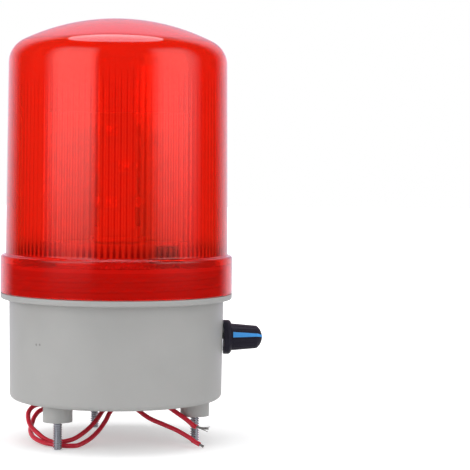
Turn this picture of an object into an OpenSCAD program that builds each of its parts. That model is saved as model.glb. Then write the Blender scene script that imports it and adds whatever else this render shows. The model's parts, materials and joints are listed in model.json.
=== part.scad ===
/* [Base housing] */
// Outer radius of the lip and of the lens collar
rim_r = 50; // [45:0.5:60]
// Distance from the lip's edge in to the base's wall
base_inset = 3.7; // [3.5:0.1:4.5]
// Amount by which the base narrows from the lip to its bottom edge
base_draft = 0.5; // [0.2:0.1:1]
// Height of the base from its underside to the lip
base_h = 43; // [40:0.5:60]
// Thickness of the base's side wall
base_wall = 2.6; // [1.8:0.1:3]
// Thickness of the base's floor
base_floor = 3; // [2:0.1:4]
// Radius of the rounded bottom edge
base_edge_r = 2; // [0.5:0.1:2.5]
// Thickness of the lip
lip_t = 2.5; // [2:0.1:4]
// Radius of the rounded lower edge of the lip
lip_edge_r = 0.8; // [0.3:0.1:1.5]
// Height of the threaded neck above the lip
neck_h = 11; // [10:0.5:14]
// Thickness of the neck's wall
neck_wall = 3; // [2:0.1:3.4]

/* [Feet and studs] */
// Direction of the first stud, in degrees from +X
stud_angle = -14; // [-20:1:-10]
// Distance from the base's bottom edge in to the studs
stud_inset = 10.8; // [10:0.1:13]
// Outer diameter of the stud's thread
stud_d = 4; // [3:0.1:4.2]
// Length of stud below the foot
stud_len = 12; // [12:0.5:20]
// Diameter of the stud's shank inside the foot
stud_shank_d = 4.4; // [4.3:0.1:5]
// Size of the stud's hexagon head across its flats
stud_head_af = 7; // [6:0.1:8]
// Thickness of the stud's head
stud_head_h = 2.8; // [2:0.1:3.5]
// Length of the bevel at the stud's end
stud_bevel = 0.5; // [0.2:0.1:0.8]
// Diameter of a foot
foot_d = 12.4; // [9:0.1:14]
// Height of a foot
foot_h = 7; // [7:0.5:12]

/* [Lens] */
// Height of the dome above the collar
dome_h = 101.5; // [98:0.5:120]
// Distance from the collar's edge in to the dome's foot
dome_inset = 2.1; // [1.5:0.1:2.5]
// Amount by which the dome narrows from its foot to its shoulder
dome_draft = 0.9; // [0.5:0.1:1.2]
// Radius of the sphere that the crown is part of
crown_r = 92; // [80:1:120]
// Radius of the round shoulder between crown and wall
shoulder_r = 11; // [8:0.5:14]
// Thickness of the lens in its crown and where the wall is plain
lens_wall = 2.4; // [1.8:0.1:2.6]
// Number of flutes inside the dome
flute_count = 120; // [60:10:140]
// Depth of a flute
flute_depth = 0.9; // [0.4:0.1:1.2]
// Thickness that the wall gains at the flutes' roots
flute_land = 0.3; // [0.2:0.1:0.6]
// Plain height between the collar and the flutes' lower ends
flute_rise = 0.3; // [0.2:0.1:8]
// Thickness of the collar's skirt
skirt_wall = 2.2; // [1.6:0.1:2.4]
// Thickness of the collar's ledge above the seal
ledge_t = 3.4; // [1.8:0.1:4]
// Radius of the collar's rounded top edge
collar_edge_r = 1.1; // [0.4:0.1:1.4]
// Radius of the fillet between the collar and the dome
dome_fillet_r = 0.9; // [0.3:0.1:1]
// Radial room between skirt and neck for the thread
thread_room = 1.4; // [1:0.1:2]
// Thickness of the rubber seal under the lens
seal_t = 1.8; // [1:0.1:3]

/* [Deck and lamp post] */
// Height of the deck's underside above the lip's underside
deck_rise = 3.5; // [3:0.1:5]
// Thickness of the deck
deck_t = 2.5; // [2:0.1:3]
// Distance from the deck's edge to its screws
deck_screw_inset = 5; // [4:0.1:6]
// Direction of the first deck screw, in degrees from +X
deck_screw_angle = 40; // [36:1:44]
// Outer radius of the lamp post
post_r = 8.5; // [7.5:0.1:9]
// Thickness of the lamp post's wall
post_wall = 2.5; // [2:0.1:3]
// Height of the thrust seat on the deck
seat_h = 1.5; // [1:0.1:2.5]
// Thickness of the thrust washer
washer_t = 0.5; // [0.3:0.1:1]

/* [Rotor] */
// Number of teeth on the ring gear
gear_teeth = 64; // [60:1:64]
// Height of the gear teeth
gear_h = 7; // [5:0.5:8]
// Height of the turntable above its lowest face
rotor_h = 16; // [13:0.5:18]
// Distance from the roots of the gear teeth in to the turntable's drum
drum_inset = 0.4; // [0.2:0.1:1]
// Wall thickness of the turntable
drum_wall = 2.2; // [1.6:0.1:2.6]
// Thickness of the rotor bush
bush_t = 2; // [1.2:0.1:2.4]
// Thickness of the turntable's hub around the bush
hub_t = 2.5; // [1.8:0.1:3]

/* [Reflector] */
// Width of the mirror's opening
mirror_w = 60; // [52:1:66]
// Height of the mirror above the turntable
mirror_h = 56; // [50:1:60]
// Distance from the drum's edge in to the mirror's deepest line
mirror_inset = 9.2; // [8.4:0.1:9.6]
// Thickness of the mirror's wall
mirror_t = 1.5; // [1:0.1:1.8]
// Thickness of the mirror's foot plate
mirror_foot_t = 2; // [1.2:0.1:3]
// Distance of each mirror screw from the mirror's middle plane
mirror_screw_x = 8; // [6:0.1:9]
// Distance from the drum's edge in to the line of the mirror screws
mirror_screw_inset = 5; // [4.8:0.1:5.2]

/* [Lamp] */
// Width of the square lamp column
lamp_w = 16; // [12:0.1:16.5]
// Height of the lamp's boards
lamp_h = 51; // [48:0.5:54]
// Thickness of a lamp board
lamp_board_t = 1.6; // [1:0.1:2]
// Thickness of the lamp's cap
lamp_cap_t = 2; // [1:0.1:3]
// Thickness of the lamp base's flange
lamp_flange_t = 2; // [1.5:0.1:3]
// Depth of the socket that holds the lamp boards
lamp_socket_h = 4.5; // [3:0.1:6]
// Wall of the socket that holds the lamp boards
lamp_socket_wall = 1; // [0.8:0.1:1.2]
// Number of light chips on each side
chip_rows = 3; // [1:1:3]
// Height of the lowest chip above the lamp base
chip_start = 15; // [8:0.5:16]
// Vertical spacing of the chips
chip_pitch = 15.3; // [8:0.1:15.5]
// Distance of the chips from the middle of their side
chip_offset = 3; // [0:0.1:4]
// Edge length of a light chip
chip_w = 5; // [3:0.1:5.5]
// Thickness of a light chip
chip_t = 1.2; // [0.6:0.1:1.4]

/* [Drive] */
// Room between the gearbox and the edge of the deck
drive_room = 0.5; // [0.3:0.1:1.5]
// Direction of the pinion, in degrees from +X
drive_angle = -50; // [-56:1:-46]
// Number of teeth on the pinion
pinion_teeth = 16; // [16:1:17]
// Radius of the pinion's hub above its teeth
pinion_hub_r = 5; // [4:0.1:5.2]
// Distance from the turntable's top down to the top of the pinion's hub
pinion_drop = 0.4; // [0.4:0.1:4]
// Diameter of the motor's shaft
motor_shaft_d = 3; // [2:0.1:3.5]
// Radius of the motor's can
motor_r = 10; // [8:0.1:10.5]
// Length of the motor's can
motor_h = 20; // [16:0.5:21]
// Radius of the motor's gearbox
gearbox_r = 10.5; // [10:0.1:10.8]
// Height of the motor's gearbox
gearbox_h = 8; // [7:0.5:9]
// Radius of the gearbox's collar in the deck
gearbox_collar_r = 4; // [3:0.1:4.2]

/* [Control knob] */
// Height of the knob's axis above the feet's undersides
knob_z = 33.1; // [31:0.1:35]
// Largest diameter of the knob, at its skirt
knob_d = 15; // [14:0.1:17]
// Length of the knob
knob_len = 17; // [15.5:0.1:20]
// Diameter of the knob's grip next to the skirt
knob_grip_d = 11.8; // [11:0.1:12.4]
// Diameter of the knob's grip at the foot of its end cap
knob_end_d = 9.9; // [9:0.1:10.8]
// Length of the knob's skirt
knob_skirt_h = 3.4; // [3:0.1:4]
// Height of the domed cap on the knob's end
knob_cap_h = 2.5; // [1.8:0.1:3]
// Number of grip grooves round the knob
groove_count = 18; // [12:1:24]
// Radius of a grip groove
groove_r = 0.45; // [0.2:0.05:0.6]
// Width of the pointer next to the skirt
pointer_w = 2.4; // [1.6:0.1:3]
// Width of the pointer at the knob's end
pointer_tip_w = 1; // [0.6:0.1:1.6]
// Distance from the knob's axis to the bottom of the pointer's slot
pointer_depth_r = 4.1; // [3.9:0.1:4.3]
// Angle by which the pointer is turned up from the front
pointer_turn = 15; // [-30:1:30]

/* [Potentiometer] */
// Radius of the potentiometer's can
pot_r = 8.5; // [7:0.1:9.5]
// Depth of the potentiometer's can
pot_depth = 8; // [7:0.1:10]
// Outer diameter of the threaded bush
pot_bush_d = 7; // [6.8:0.1:7.4]
// Diameter of the potentiometer's shaft
pot_shaft_d = 6; // [5.6:0.1:6]
// Size of the bush's nut across its flats
pot_nut_af = 10; // [9:0.1:10.4]
// Thickness of the bush's nut
pot_nut_t = 2; // [1.2:0.1:2.2]
// Thickness of the washer under the nut
pot_washer_t = 0.5; // [0.3:0.1:0.6]
// Radius of the flat spot on the wall under the washer
spot_r = 6.5; // [6.2:0.1:7]

/* [Electronics] */
// Size of the circuit board along X
board_x = 51; // [49:0.5:51]
// Size of the circuit board along Y
board_y = 51; // [50:0.5:52]
// Thickness of the circuit board
board_t = 1.6; // [1:0.1:2]
// Height of the posts under the circuit board
board_rise = 5; // [4:0.1:7]
// Radius of the sounder
buzzer_r = 8.5; // [6:0.1:9]
// Height of the sounder
buzzer_h = 8; // [5:0.5:8]
// Radius of a capacitor
capacitor_r = 4; // [3:0.1:4.4]
// Height of a capacitor
capacitor_h = 13; // [8:0.5:16]

/* [Leads] */
// Outer diameter of a supply lead
lead_d = 2; // [1.6:0.1:2.1]
// Diameter of a supply lead's bare strands
strand_d = 1.1; // [0.8:0.1:1.4]
// Length of bare strands on lead a
strand_len_a = 6.5; // [4:0.5:8]
// Length of bare strands on lead b
strand_len_b = 2.5; // [1.5:0.5:3]
// Diameter of an inner lead
inner_lead_d = 1.4; // [1:0.1:1.8]
// Radius of the hole that the leads leave by
lead_hole_r = 4.5; // [4:0.1:5]
// Thickness of the grommet's outer rim
grommet_rim_t = 0.6; // [0.4:0.1:0.6]

/* [Hidden] */
$fn = 96;

// Clearances
running_gap = 0.05;
slip_gap = 0.2;
lens_gap = 0.2;
end_play = 0.1;
lamp_gap = 0.4;
deck_gap = 0.4;
board_gap = 0.1;
knob_gap = 0.4;
nut_gap = 0.4;

// Overlaps that keep cuts and joins clean
cut = 1;
sliver = 0.02;

// Numbers of feet with their studs, and of deck screws
stud_count = 3;
deck_screw_count = 3;

// Heights of the main levels
floor_z = foot_h;
inner_z = floor_z + base_floor;
lip_z = floor_z + base_h;
neck_z = lip_z + lip_t;
neck_top_z = neck_z + neck_h;
seal_top_z = neck_top_z + seal_t;
lens_seat_z = seal_top_z + lens_gap;
skirt_z = neck_z + lens_gap;
ledge_z = lens_seat_z + ledge_t;
apex_z = ledge_z + dome_h;
deck_z = lip_z + deck_rise;
deck_top_z = deck_z + deck_t;
washer_z = deck_top_z + seat_h;
rotor_z = washer_z + washer_t + end_play;
rotor_top_z = rotor_z + rotor_h;
post_top_z = rotor_top_z + lamp_gap;
lamp_plug_h = (post_top_z - deck_z) / 3;
lamp_z = post_top_z + lamp_flange_t;
lamp_top_z = lamp_z + lamp_h;
board_z = inner_z + board_rise;
board_top_z = board_z + board_t;

// Radii that follow from the sizes above
base_top_r = rim_r - base_inset;
base_bottom_r = base_top_r - base_draft;
base_inner_top_r = base_top_r - base_wall;
base_inner_bottom_r = base_bottom_r - base_wall;
stud_ring_r = base_bottom_r - stud_inset;
dome_foot_r = rim_r - dome_inset;
dome_top_r = dome_foot_r - dome_draft;
skirt_inner_r = rim_r - skirt_wall;
neck_r = skirt_inner_r - thread_room;
neck_inner_r = neck_r - neck_wall;
deck_r = neck_inner_r - deck_gap;
hollow_r = dome_top_r - lens_wall;
flute_root_r = hollow_r - flute_land;
seal_inner_r = neck_inner_r + slip_gap;
seal_outer_r = neck_r - slip_gap;
post_bore_r = post_r - post_wall;
bush_r = post_r + running_gap;
bush_outer_r = bush_r + bush_t;
hub_r = bush_outer_r + hub_t;
lamp_flange_r = bush_outer_r + hub_t / 2;
screw_ring_r = deck_r - deck_screw_inset;

// The crown's sphere, and the shoulder's circle that touches it and the wall
crown_z = apex_z - crown_r;
shoulder_c = dome_top_r - shoulder_r;
shoulder_z = crown_z + sqrt(pow(crown_r - shoulder_r, 2) - pow(shoulder_c, 2));
flute_top_z = shoulder_z;
flute_z = ledge_z + flute_rise;
flute_steps = 4;
crown_sides = 256;

// Self-tapping screws of the deck, motor, mirror and board
screw_r = 1.1;
screw_head_r = 2.3;
screw_head_h = 1.2;
deck_screw_len = 9;
motor_screw_len = 6;
mirror_screw_len = 4.6;
board_screw_len = 5;
screw_post_r = 3.5;

// Gear pair, as large as the gearbox beside it lets it be
pressure_angle = 20;
backlash = 0.2;
flank_steps = 4;
dedendum = 1.25;
drive_r = deck_r - gearbox_r - drive_room;
drive_c = drive_r * [cos(drive_angle), sin(drive_angle)];
gear_module = 2 * drive_r / (gear_teeth + pinion_teeth);
gear_r = gear_module * gear_teeth / 2;
drum_r = gear_r - dedendum * gear_module - drum_inset;
pinion_phase = drive_angle + 180 + 180 / pinion_teeth;
motor_shaft_r = motor_shaft_d / 2;
pinion_cap_t = 3;
pinion_h = rotor_h - pinion_drop;
motor_shaft_top_z = rotor_z + pinion_h - pinion_cap_t;
gearbox_z = deck_z - gearbox_h;
gearbox_floor = 2.5;
motor_z = gearbox_z - motor_h;
motor_screw_ring = 7.5;
terminal_h = 2.5;
terminal_offset = 4;

// Mirror's parabola, with its focus on the axis
mirror_steps = 16;
mirror_f = drum_r - mirror_inset;
mirror_screw_y = drum_r - mirror_screw_inset;
mirror_plate_r = drum_r - slip_gap;
mirror_edge_y = mirror_y(mirror_w / 2);

// Knob and potentiometer, placed from the wall at the knob's height
wall_x = base_bottom_r + (base_top_r - base_bottom_r) * (knob_z - floor_z) / base_h;
spot_x = sqrt(wall_x * wall_x - spot_r * spot_r);
knob_x = wall_x + knob_gap;
pot_pad_rim = 1.5;
pot_pad_t = 0.4;
pot_pad_r = pot_r + pot_pad_rim;
pot_pad_x = sqrt(pow(base_inner_bottom_r, 2) - pow(pot_pad_r, 2)) - pot_pad_t;
pot_back_x = pot_pad_x - pot_depth;
pot_nut_x = spot_x + pot_washer_t;
bush_over_nut = 0.5;
pot_bush_end_x = pot_nut_x + pot_nut_t + bush_over_nut;
pot_shaft_r = pot_shaft_d / 2;
pot_back_t = 3;
pot_shaft_x = pot_back_x + pot_back_t;
knob_cap_t = 3.5;
pot_shaft_end_x = knob_x + knob_len - knob_cap_t;
knob_recess_r = pot_nut_af / sqrt(3) + nut_gap;
knob_recess_h = knob_skirt_h - slip_gap;
knob_grip_len = knob_len - knob_skirt_h - knob_cap_h;
groove_start = 0.8;
groove_len = knob_grip_len - 2 * groove_start;
groove_out = 0.6 * groove_r;
pointer_start = 0.6;
pointer_proud = 0.15;
pointer_lap = 0.5;
knob_cap_r = cap_radius(knob_end_d / 2, knob_cap_h);
pointer_cap_t = knob_cap_r - sqrt(pow(knob_cap_r, 2) - pow(pointer_depth_r, 2)) + slip_gap;
lug_w = 1.4;
lug_t = 0.5;
lug_drop = 3;
lug_pitch = 5;
lug_x = pot_back_x + pot_depth / 2;
lug_z = knob_z - pot_r - lug_drop;
pot_lead_bend = 1.5;
pot_lead_inset = 2;

// Layout of the electronics
board_c = [-0.5, -2.5];
board_post_x = 20;
board_post_y = [-12, 17];
buzzer_c = [-8, -16];
buzzer_port_r = 1.4;
buzzer_port_depth = 1;
capacitor_places = [[10, 12], [0, 14]];
chip_size = [8, 6, 2];
chip_c = [8, -9];
lamp_lead_x = 3;

// Leads: exits in the floor, and hand-laid routes from there to the bare ends
lead_r = lead_d / 2;
strand_r = strand_d / 2;
inner_lead_r = inner_lead_d / 2;
lead_exit_z = floor_z - grommet_rim_t;
lead_exit_x = -10;
lead_exit_y_a = 14;
lead_exit_y_b = 17.5;
grommet_c = [lead_exit_x, (lead_exit_y_a + lead_exit_y_b) / 2, 0];
grommet_flange_t = 1.5;
grommet_r = lead_hole_r + 1;
lead_sides = 8;
side_hint = [0.3, 1, 0.2];
lead_route_a = [
  [lead_exit_x, lead_exit_y_a, lead_exit_z], [lead_exit_x, lead_exit_y_a, 5],
  [-10.5, 14, 3.5], [-12, 14, 2], [-15, 13.5, 1.2], [-20, 12.5, 1.5], [-26, 11, 2], [-31.5, 9, 2.2],
  [-35, 7, 2], [-37, 4, 1], [-38, 1, -0.8], [-37.5, -3, -3.5], [-36, -6.5, -5.5], [-34, -9.5, -6.9],
  [-30.4, -13, -9.2], [-26.4, -16.7, -10.2], [-22.5, -17.6, -9.9], [-17.5, -15, -9], [-12.5, -10, -6.3],
  [-8.5, -3, -3.2], [-6, 4, -0.4], [-3, 9.5, 2], [1.5, 12.5, 3.8], [7, 12.5, 4.8], [12, 9.5, 5.2],
  [16.5, 4.5, 5], [20, -1.5, 4.3], [23, -7.5, 3.2], [25.5, -12, 2], [29.8, -16, -0.5],
  [33, -18.3, -2.9], [34.2, -19, -3.4]
];
lead_route_b = [
  [lead_exit_x, lead_exit_y_b, lead_exit_z], [lead_exit_x, lead_exit_y_b, 5],
  [-10.5, 17.5, 3.2], [-12, 17.5, 1.6], [-15, 17.5, 0.6], [-20, 17, 0.2], [-25.5, 15, 0.2],
  [-30, 12.5, 0], [-33.5, 9, -0.8], [-35.5, 6, -2.9], [-36.2, 3, -4.8], [-36.8, -0.5, -6.6],
  [-36.6, -4.5, -8], [-34.8, -10.5, -9.4], [-30.5, -17, -10.3], [-26.5, -20, -10.6],
  [-22.5, -21.3, -10.9], [-19, -22, -10.9], [-15.5, -20.5, -10.8], [-11, -15, -9.2], [-7.2, -8.5, -6.5],
  [-4.4, -3, -3.2], [-2.4, 2, -0.1], [0.5, 5.5, 2.2], [4.5, 6.5, 3.2], [7.5, 4.2, 2.6], [9.5, -0.5, 1.1],
  [14.5, -7, -1.6], [21, -11.5, -3.8], [26, -15, -5.5], [31, -18.5, -7.9], [33.3, -20.3, -9.4],
  [35.5, -22, -10.4]
];

function unit(v) = v / norm(v);
function polar(r, a) = r * [cos(a), sin(a)];
function cap_radius(foot_r, h) = (foot_r * foot_r + h * h) / (2 * h);
function last(list) = list[len(list) - 1];

// Rings of a tube along a route: tangents, and normals carried from ring to ring without twist
function tangents(p) = [
  for (i = [0 : len(p) - 1]) unit(p[min(i + 1, len(p) - 1)] - p[max(i - 1, 0)])
];
function carried(n, t) = unit(n - (n * t) * t);
function normals(t, n = side_hint, i = 0) =
  i == len(t) ? [] : let (m = carried(n, t[i])) concat([m], normals(t, m, i + 1));

// Angle between a tooth's middle and its involute flank at radius r
function involute_angle(a) = tan(a) * 180 / PI - a;
function flank_angle(r, base_r, half) =
  half + involute_angle(pressure_angle) - involute_angle(acos(min(1, base_r / r)));
function tooth_points(root, flank_r, tip, base_r, half) = let (
  rs = [for (i = [0 : flank_steps]) flank_r + (tip - flank_r) * i / flank_steps],
  left = [for (r = rs) [r, -flank_angle(r, base_r, half)]],
  right = [for (i = [flank_steps : -1 : 0]) [rs[i], flank_angle(rs[i], base_r, half)]],
  foot = flank_angle(flank_r, base_r, half)
) concat([[root, -foot]], left, right, [[root, foot]]);
function gear_points(teeth) = let (
  pitch_r = gear_module * teeth / 2,
  base_r = pitch_r * cos(pressure_angle),
  root = pitch_r - dedendum * gear_module,
  tip = pitch_r + gear_module,
  half = 90 / teeth - backlash / 4 / pitch_r * 180 / PI,
  tooth = tooth_points(root, max(root + sliver, base_r), tip, base_r, half)
) [for (i = [0 : teeth - 1]) for (p = tooth) polar(p[0], p[1] + 360 * i / teeth)];

// Half of the mirror's curve: distance behind the axis at width x, and the wall's outer face
function mirror_y(x) = mirror_f - x * x / (4 * mirror_f);
function mirror_normal(x) = unit([x / (2 * mirror_f), 1]);
function mirror_x(i) = mirror_w * (i / mirror_steps - 0.5);
function mirror_inner() = [for (i = [0 : mirror_steps]) [mirror_x(i), mirror_y(mirror_x(i))]];
function mirror_outer() = [
  for (i = [mirror_steps : -1 : 0])
    [mirror_x(i), mirror_y(mirror_x(i))] + mirror_t * mirror_normal(mirror_x(i))
];

// Piece of a corner at p between two edges and a circle of radius r, which lies towards dir
module corner_piece(p, dir, r) {
  difference() {
    polygon([
      p - sliver * dir,
      [p[0] + r * dir[0], p[1] - sliver * dir[1]],
      p + r * dir,
      [p[0] - sliver * dir[0], p[1] + r * dir[1]]
    ]);
    translate(p + r * dir) circle(r);
  }
}

module ring(inner, outer, h) {
  difference() {
    cylinder(r = outer, h = h);
    translate([0, 0, -cut]) cylinder(r = inner, h = h + 2 * cut);
  }
}

module tube(route, r) {
  t = tangents(route);
  n = normals(t);
  rings = len(route);
  points = [
    for (i = [0 : rings - 1]) for (k = [0 : lead_sides - 1])
      route[i] + r * (cos(360 * k / lead_sides) * n[i] + sin(360 * k / lead_sides) * cross(t[i], n[i]))
  ];
  sides = [
    for (i = [0 : rings - 2]) for (k = [0 : lead_sides - 1]) let (
      a = i * lead_sides + k,
      b = i * lead_sides + (k + 1) % lead_sides
    ) each [[a, a + lead_sides, b], [b, a + lead_sides, b + lead_sides]]
  ];
  start = [for (k = [0 : lead_sides - 1]) k];
  end = [for (k = [lead_sides - 1 : -1 : 0]) (rings - 1) * lead_sides + k];
  polyhedron(points, concat(sides, [start, end]), convexity = 8);
}

// Pan-head screw with the underside of its head at the origin, pointing down
module screw(length) {
  cylinder(r = screw_head_r, h = screw_head_h);
  translate([0, 0, -length]) cylinder(r = screw_r, h = length + sliver);
}

// Hole for a screw with the underside of its head at the origin
module screw_hole(length) {
  translate([0, 0, -length]) cylinder(r = screw_r, h = length + sliver);
}

module at_studs() {
  for (i = [0 : stud_count - 1])
    rotate(stud_angle + 360 * i / stud_count) translate([stud_ring_r, 0, 0]) children();
}

module at_deck_screws() {
  for (i = [0 : deck_screw_count - 1])
    rotate(deck_screw_angle + 360 * i / deck_screw_count) translate([screw_ring_r, 0, 0]) children();
}

module at_motor_screws() {
  for (s = [-1, 1])
    translate(drive_c) rotate(drive_angle) translate([0, s * motor_screw_ring, 0]) children();
}

module at_board_posts() {
  for (x = [-1, 1]) for (y = board_post_y) translate([x * board_post_x, y, 0]) children();
}

module at_mirror_screws() {
  for (s = [-1, 1]) translate([s * mirror_screw_x, mirror_screw_y, 0]) children();
}

// Turns +Z to +X about the knob's axis
module along_knob(x) {
  translate([x, 0, knob_z]) rotate([0, 90, 0]) children();
}

module base_profile() {
  difference() {
    union() {
      polygon([[0, floor_z], [base_bottom_r, floor_z], [base_top_r, lip_z + sliver], [0, lip_z + sliver]]);
      translate([0, lip_z]) square([rim_r, lip_t]);
      translate([0, neck_z - sliver]) square([neck_r, neck_h + sliver]);
    }
    corner_piece([base_bottom_r, floor_z], [-1, 1], base_edge_r);
    corner_piece([rim_r, lip_z], [-1, 1], lip_edge_r);
    polygon([
      [0, inner_z], [base_inner_bottom_r, inner_z], [base_inner_top_r, lip_z], [0, lip_z]
    ]);
    translate([0, lip_z - sliver]) square([neck_inner_r, neck_top_z - lip_z + cut]);
  }
}

module base_housing() {
  color([0.66, 0.66, 0.65]) difference() {
    union() {
      rotate_extrude() base_profile();
      at_studs() cylinder(d = foot_d, h = floor_z + sliver);
      translate([0, 0, inner_z - sliver]) {
        at_deck_screws() cylinder(r = screw_post_r, h = deck_z - inner_z + sliver);
        at_board_posts() cylinder(r = screw_post_r, h = board_rise + sliver);
      }
      along_knob(pot_pad_x) cylinder(r = pot_pad_r, h = base_inner_bottom_r + base_wall / 2 - pot_pad_x);
    }
    at_studs() translate([0, 0, -cut]) cylinder(d = stud_shank_d, h = inner_z + 2 * cut);
    at_deck_screws() translate([0, 0, deck_top_z]) screw_hole(deck_screw_len);
    at_board_posts() translate([0, 0, board_top_z]) screw_hole(board_screw_len);
    along_knob(pot_pad_x - cut) cylinder(d = pot_bush_d, h = wall_x - pot_pad_x + 2 * cut);
    along_knob(spot_x) cylinder(r = spot_r, h = knob_gap + base_wall);
    translate(grommet_c + [0, 0, floor_z - cut]) cylinder(r = lead_hole_r, h = base_floor + 2 * cut);
  }
}

module mounting_bolts() {
  color([0.75, 0.76, 0.78]) at_studs() {
    translate([0, 0, -stud_len]) cylinder(d1 = stud_d - 2 * stud_bevel, d2 = stud_d, h = stud_bevel);
    translate([0, 0, stud_bevel - stud_len]) cylinder(d = stud_d, h = stud_len - stud_bevel);
    cylinder(d = stud_shank_d, h = inner_z);
    translate([0, 0, inner_z]) cylinder(d = 2 * stud_head_af / sqrt(3), h = stud_head_h, $fn = 6);
  }
}

// Crown, shoulder and wall of the dome, set in by inset from the outer face
module dome_profile(inset, foot_r, top_r, foot_z) {
  ball_r = crown_r - inset;
  round_r = shoulder_r - inset;
  touch = unit([shoulder_c, shoulder_z - crown_z]) * ball_r + [0, crown_z];
  union() {
    intersection() {
      translate([0, crown_z]) circle(ball_r, $fn = crown_sides);
      translate([0, touch[1] - sliver]) square([touch[0], crown_r]);
    }
    intersection() {
      translate([shoulder_c, shoulder_z]) circle(round_r);
      translate([shoulder_c - sliver, shoulder_z - sliver]) square(shoulder_r);
    }
    polygon([
      [0, foot_z], [foot_r, foot_z], [top_r, shoulder_z], [shoulder_c, shoulder_z], touch, [0, touch[1]]
    ]);
  }
}

module lens_profile() {
  difference() {
    union() {
      dome_profile(0, dome_foot_r, dome_top_r, ledge_z - sliver);
      translate([0, skirt_z]) square([rim_r, ledge_z - skirt_z]);
      corner_piece([dome_foot_r, ledge_z], [1, 1], dome_fillet_r);
    }
    corner_piece([rim_r, ledge_z], [-1, -1], collar_edge_r);
    translate([0, skirt_z - cut]) square([skirt_inner_r, lens_seat_z - skirt_z + cut]);
    translate([0, skirt_z - cut]) square([hollow_r, flute_z - skirt_z + cut]);
    dome_profile(lens_wall, hollow_r, hollow_r, flute_top_z - sliver);
  }
}

// Cross-section of the fluted hollow: rounded ribs that point inwards between the flutes' roots
module fluted_hollow() {
  corners = flute_count * flute_steps;
  polygon([
    for (i = [0 : corners - 1])
      polar(flute_root_r - flute_depth * abs(sin(180 * i / flute_steps)), 360 * i / corners)
  ]);
}

module lens() {
  color([0.85, 0.05, 0.04, 0.6]) difference() {
    rotate_extrude() lens_profile();
    translate([0, 0, flute_z - sliver])
      linear_extrude(height = flute_top_z - flute_z + 2 * sliver) fluted_hollow();
  }
}

module lens_seal() {
  color([0.6, 0.6, 0.59]) translate([0, 0, neck_top_z]) ring(seal_inner_r, seal_outer_r, seal_t);
}

module deck() {
  color([0.86, 0.86, 0.84]) difference() {
    union() {
      translate([0, 0, deck_z]) cylinder(r = deck_r, h = deck_t);
      translate([0, 0, deck_z]) cylinder(r = hub_r, h = washer_z - deck_z);
      translate([0, 0, deck_z]) cylinder(r = post_r, h = post_top_z - deck_z);
    }
    translate([0, 0, deck_z - cut]) cylinder(r = post_bore_r, h = post_top_z - deck_z + 2 * cut);
    translate([0, 0, deck_z - cut]) {
      at_deck_screws() cylinder(r = screw_r, h = deck_t + 2 * cut);
      at_motor_screws() cylinder(r = screw_r, h = deck_t + 2 * cut);
      translate(drive_c) cylinder(r = gearbox_collar_r + slip_gap, h = deck_t + 2 * cut);
    }
  }
}

module deck_screws() {
  color([0.7, 0.71, 0.73]) at_deck_screws()
    translate([0, 0, deck_top_z]) screw(deck_screw_len - slip_gap);
}

module thrust_washer() {
  color([0.92, 0.91, 0.86]) translate([0, 0, washer_z]) ring(post_r, hub_r, washer_t);
}

module rotor_profile() {
  translate([bush_outer_r, rotor_z]) square([hub_t, rotor_h]);
  translate([drum_r - drum_wall, rotor_z]) square([drum_wall, rotor_h]);
  translate([bush_outer_r, rotor_top_z - drum_wall]) square([drum_r - bush_outer_r, drum_wall]);
}

module rotor_gear() {
  color([0.66, 0.66, 0.67]) difference() {
    union() {
      rotate_extrude() rotor_profile();
      translate([0, 0, rotor_z]) linear_extrude(height = gear_h) difference() {
        rotate(drive_angle) polygon(gear_points(gear_teeth));
        circle(drum_r - drum_wall);
      }
    }
    at_mirror_screws() translate([0, 0, rotor_top_z + cut]) screw_hole(drum_wall + 2 * cut);
  }
}

module rotor_bush() {
  color([0.7, 0.52, 0.28]) translate([0, 0, rotor_z]) ring(bush_r, bush_outer_r, rotor_h);
}

module reflector() {
  color([0.85, 0.86, 0.88]) translate([0, 0, rotor_top_z]) {
    linear_extrude(height = mirror_h) polygon(concat(mirror_inner(), mirror_outer()));
    linear_extrude(height = mirror_foot_t) difference() {
      intersection() {
        circle(mirror_plate_r);
        translate([-mirror_plate_r, mirror_edge_y])
          square([2 * mirror_plate_r, mirror_plate_r - mirror_edge_y]);
      }
      polygon(mirror_inner());
      at_mirror_screws() circle(screw_r);
    }
  }
}

module reflector_screws() {
  color([0.7, 0.71, 0.73]) at_mirror_screws()
    translate([0, 0, rotor_top_z + mirror_foot_t]) screw(mirror_screw_len);
}

module lamp_base() {
  socket_w = lamp_w + 2 * lamp_socket_wall;
  color([0.9, 0.9, 0.87]) difference() {
    union() {
      translate([0, 0, post_top_z]) cylinder(r = lamp_flange_r, h = lamp_flange_t);
      translate([-socket_w / 2, -socket_w / 2, lamp_z - sliver])
        cube([socket_w, socket_w, lamp_socket_h + sliver]);
      translate([0, 0, post_top_z - lamp_plug_h]) cylinder(r = post_bore_r, h = lamp_plug_h + sliver);
    }
    translate([-lamp_w / 2, -lamp_w / 2, lamp_z]) cube([lamp_w, lamp_w, lamp_socket_h + cut]);
  }
}

module lamp_board(width) {
  translate([-width / 2, lamp_w / 2 - lamp_board_t, lamp_z]) cube([width, lamp_board_t, lamp_h]);
}

module lamp_boards() {
  color([0.93, 0.93, 0.9]) {
    for (a = [0, 180]) rotate(a) lamp_board(lamp_w);
    for (a = [90, 270]) rotate(a) lamp_board(lamp_w - 2 * lamp_board_t - 2 * board_gap);
  }
}

// Chips stand in a zigzag on each side of the column
module led_chips() {
  color([0.98, 0.93, 0.6]) for (a = [0 : 90 : 270]) rotate(a) for (i = [0 : chip_rows - 1]) {
    x = i % 2 == 0 ? -chip_offset : chip_offset;
    translate([x, -(lamp_w + chip_t) / 2, lamp_z + chip_start + chip_pitch * i])
      cube([chip_w, chip_t, chip_w], center = true);
  }
}

module lamp_cap() {
  color([0.9, 0.9, 0.87]) translate([0, 0, lamp_top_z + lamp_cap_t / 2])
    cube([lamp_w, lamp_w, lamp_cap_t], center = true);
}

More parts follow.
